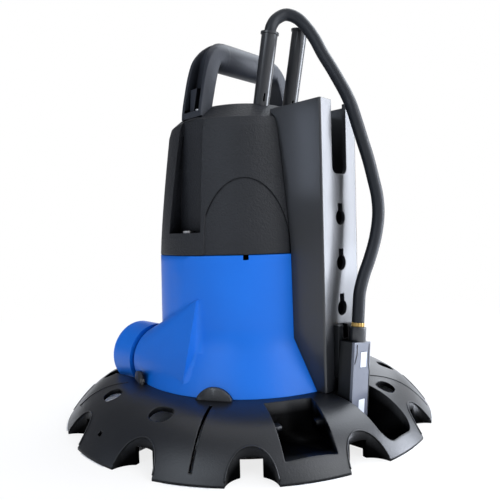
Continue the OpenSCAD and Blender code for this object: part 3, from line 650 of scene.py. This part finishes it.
# ---------------------------------------------------------------------------------------------
# Sensor cable
# A rubber-sheathed cable leaves its sleeve on top of the pump, arches over the tower's top
# corner and runs down in front of the tower to the sensor's gland.
# ---------------------------------------------------------------------------------------------
cable_d = 0.009
sensor_lean, stud_z = np.radians(7), 0.0657
lean_up = np.array([0, np.sin(sensor_lean), np.cos(sensor_lean)])
cable_end = np.array([0.110, 0.00252106, 0.0813091])
straight_end = 0.0105  # the cable runs straight into the gland from here
cable_steps, cable_sides = 145, 24
cable_route = np.vstack([np.array([
    [47, -17, 288], [49.6, -17, 300.5], [50.4, -15.4, 306], [52, -11.5, 311.3], [56, -5, 315],
    [62, 1, 312], [68, 5, 304], [74, 7, 294], [80, 8, 282], [87, 9, 270], [94, 9, 258],
    [100, 8, 248], [105, 7, 238], [108, 9, 226], [110, 13, 213], [112, 17, 200], [114, 20, 186],
    [116, 22, 172], [116, 23, 158], [115, 20, 142], [113, 15, 127], [111, 10, 115],
    [110, 5.6, 103]]) / 1000, cable_end + straight_end * lean_up, cable_end])
cable_rubber = moulded("cable_rubber", (0.007, 0.009, 0.012), (0.012, 0.014, 0.019),
                       roughness=0.46, grain=0.0007, depth=0.00002, edge=0.0002, spread=0.05,
                       reach=0.03, shine=0.3)
cable_line = spline(cable_route, cable_steps)
cable = link("sensor_cable_sheath", swept(cable_line, cable_d / 2, cable_sides),
             capped(cable_steps, cable_sides))
cable.data.set_sharp_from_angle(angle=np.radians(50))
cable.data.materials.append(cable_rubber)
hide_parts("sensor_cable")
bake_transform(cable)


# ---------------------------------------------------------------------------------------------
# Sensor
# A flat black case with a polished grey face, two pale sensing pads and a gland for its cable,
# with a brass ring above it. The face's grey is partly painted sheen. It hangs, leaning a
# little, on a plate with a stud in a keyhole.
# ---------------------------------------------------------------------------------------------
def leaning(points):
    """Turns points about the stud by the sensor's lean, its lower end towards -Y."""
    y, z = points[:, 1], points[:, 2] - stud_z
    return np.column_stack([points[:, 0], y * np.cos(sensor_lean) + z * np.sin(sensor_lean),
                            stud_z + z * np.cos(sensor_lean) - y * np.sin(sensor_lean)])


def turned(profile, centre, sides, ribs=0, rib_depth=0.0):
    """A solid of revolution about a vertical axis through the centre: the profile's pairs of
    radius and height, with that many shallow ribs round it, closed by a face at each end."""
    a = np.linspace(0, 2 * np.pi, sides, endpoint=False)
    profile = np.array(profile)
    r = profile[:, :1] - rib_depth * (np.cos(ribs * a)[None, :] > 0.4) * (ribs > 0)
    z = profile[:, 1:] * np.ones_like(r)
    points = np.stack([centre[0] + r * np.cos(a), centre[1] + r * np.sin(a), z], -1)
    return points.reshape(-1, 3), capped(len(profile), sides)


gland_at = (0.110, 0.0006)
gland_points, gland_faces = turned(
    [(0.0060, 0.0680), (0.0061, 0.0683), (0.0061, 0.0781), (0.0058, 0.0785)], gland_at, 48)
gland = link("gland_nut_turned", leaning(gland_points), gland_faces)
gland.data.set_sharp_from_angle(angle=np.radians(30))
gland.data.materials.append(tower_plastic)
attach(gland, "sensor")
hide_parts("gland_nut")


def metal(name, colour, roughness, stretch=(1, 1, 1), scale=900, depth=0.00001):
    """Bare metal with fine marks: noise of that scale, stretched along the axis whose factor is
    small, moves the roughness and stands up by depth. Edges are rounded a little."""
    below, above, edge = 0.08, 0.10, 0.0003
    material, tree, shader = nodes_of(name)
    where = tree.nodes.new("ShaderNodeTexCoord")
    mapped = tree.nodes.new("ShaderNodeMapping")
    mapped.inputs["Scale"].default_value = stretch
    tree.links.new(where.outputs["Object"], mapped.inputs["Vector"])
    marks = noise(tree, mapped.outputs["Vector"], scale, 3)
    tree.links.new(ranged(tree, marks, 0, 1, roughness - below, roughness + above),
                   shader.inputs["Roughness"])
    surface(tree, shader, marks, depth, edge, 4)
    shader.inputs["Base Color"].default_value = (*colour, 1)
    shader.inputs["Metallic"].default_value = 1.0
    return material


brass = metal("brass", (0.62, 0.42, 0.15), 0.30, scale=1500)
ring_points, ring_faces = turned(
    [(0.0044, 0.0785), (0.0047, 0.0788), (0.0047, 0.0795), (0.0047, 0.0805), (0.0047, 0.0812),
     (0.0044, 0.0815)], gland_at, 96, 12, 0.0005)
ring = link("cable_ring_turned", leaning(ring_points), ring_faces)
ring.data.set_sharp_from_angle(angle=np.radians(25))
ring.data.materials.append(brass)
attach(ring, "sensor")
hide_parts("cable_ring")

sensor_plastic = moulded("sensor_plastic", (0.004, 0.005, 0.006), (0.007, 0.008, 0.010),
                         roughness=0.38, grain=0.0012, depth=0.00004, edge=0.0006, spread=0.06,
                         reach=0.02, shine=0.3)
# Painted sheen: the face's grey colour is raised to stand in part for the window lamp's reflection
# in it.
face_plastic_and_painted_sheen = moulded("sensor_window_plastic", (0.085, 0.095, 0.125), (0.150, 0.160, 0.200),
                       roughness=0.24, grain=0.003, depth=0.00003, edge=0.0005, spread=0.06,
                       reach=0.008, shine=0.7)
pad_plastic = moulded("sensor_pad_plastic", (0.56, 0.59, 0.68), (0.66, 0.69, 0.78), roughness=0.25,
                      grain=0.002, depth=0.00001, edge=0.0003, spread=0.04, reach=0.002)
paint(sensor_plastic, "sensor_body", "sensor_bracket")
paint(face_plastic_and_painted_sheen, "sensor_cover")
paint(pad_plastic, "sensor_pads")
# Two thin lines where the face's window meets its frame.
face_x, outline_r = 0.1151, 0.0004
outlines = joined("sensor_face_lines", [
    (np.array([[face_x, -0.0069, 0.0672], [face_x, -0.0074, 0.0607], [face_x, -0.0108, 0.0544]]),
     outline_r),
    (np.array([[face_x, 0.0087, 0.0655], [face_x, 0.0067, 0.0523], [face_x, 0.0079, 0.0456],
               [face_x, 0.0053, 0.0251], [face_x, 0.0050, 0.0150]]), outline_r)], 8)
outlines.data.materials.append(parting)
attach(outlines, "sensor")


# ---------------------------------------------------------------------------------------------
# Screws and inner parts
# Stainless screws and shaft, cast aluminium end bells and can, a laminated stack with copper
# windings, a moulded impeller, rubber seals, a capacitor and two circuit boards.
# ---------------------------------------------------------------------------------------------
steel = metal("stainless_steel", (0.60, 0.60, 0.61), 0.28, (1, 1, 0.1))
paint(steel, "skirt_screws", "impeller_nut", "pump_shaft", "lower_bearing", "upper_bearing",
      "housing_screws", "handle_screws", "tower_screws")
paint(metal("cast_aluminium", (0.52, 0.53, 0.55), 0.48, scale=500, depth=0.00004),
      "seal_plate", "lower_end_bell", "upper_end_bell", "motor_can")
paint(metal("lamination_steel", (0.33, 0.34, 0.36), 0.42, (0.02, 0.02, 1), 1800, 0.00003),
      "rotor_core", "stator_core")
paint(metal("copper_wire", (0.70, 0.30, 0.11), 0.34, (0.1, 0.1, 1), 1200, 0.00008),
      "stator_windings")
paint(moulded("impeller_plastic", (0.030, 0.050, 0.090), (0.045, 0.070, 0.120), roughness=0.45,
              grain=0.0012, depth=0.00004, edge=0.0005), "impeller")
paint(moulded("seal_rubber", (0.012, 0.012, 0.012), (0.020, 0.020, 0.020), roughness=0.6,
              grain=0.0008, depth=0.00003, edge=0.0003), "shaft_seal", "housing_o_ring")
paint(moulded("capacitor_plastic", (0.62, 0.62, 0.58), (0.70, 0.70, 0.66), roughness=0.35,
              grain=0.002, depth=0.00002, edge=0.0006), "run_capacitor")
paint(moulded("circuit_board", (0.020, 0.140, 0.055), (0.030, 0.190, 0.080), roughness=0.30,
              grain=0.0016, depth=0.00003, edge=0.0002), "control_board", "sensor_board")
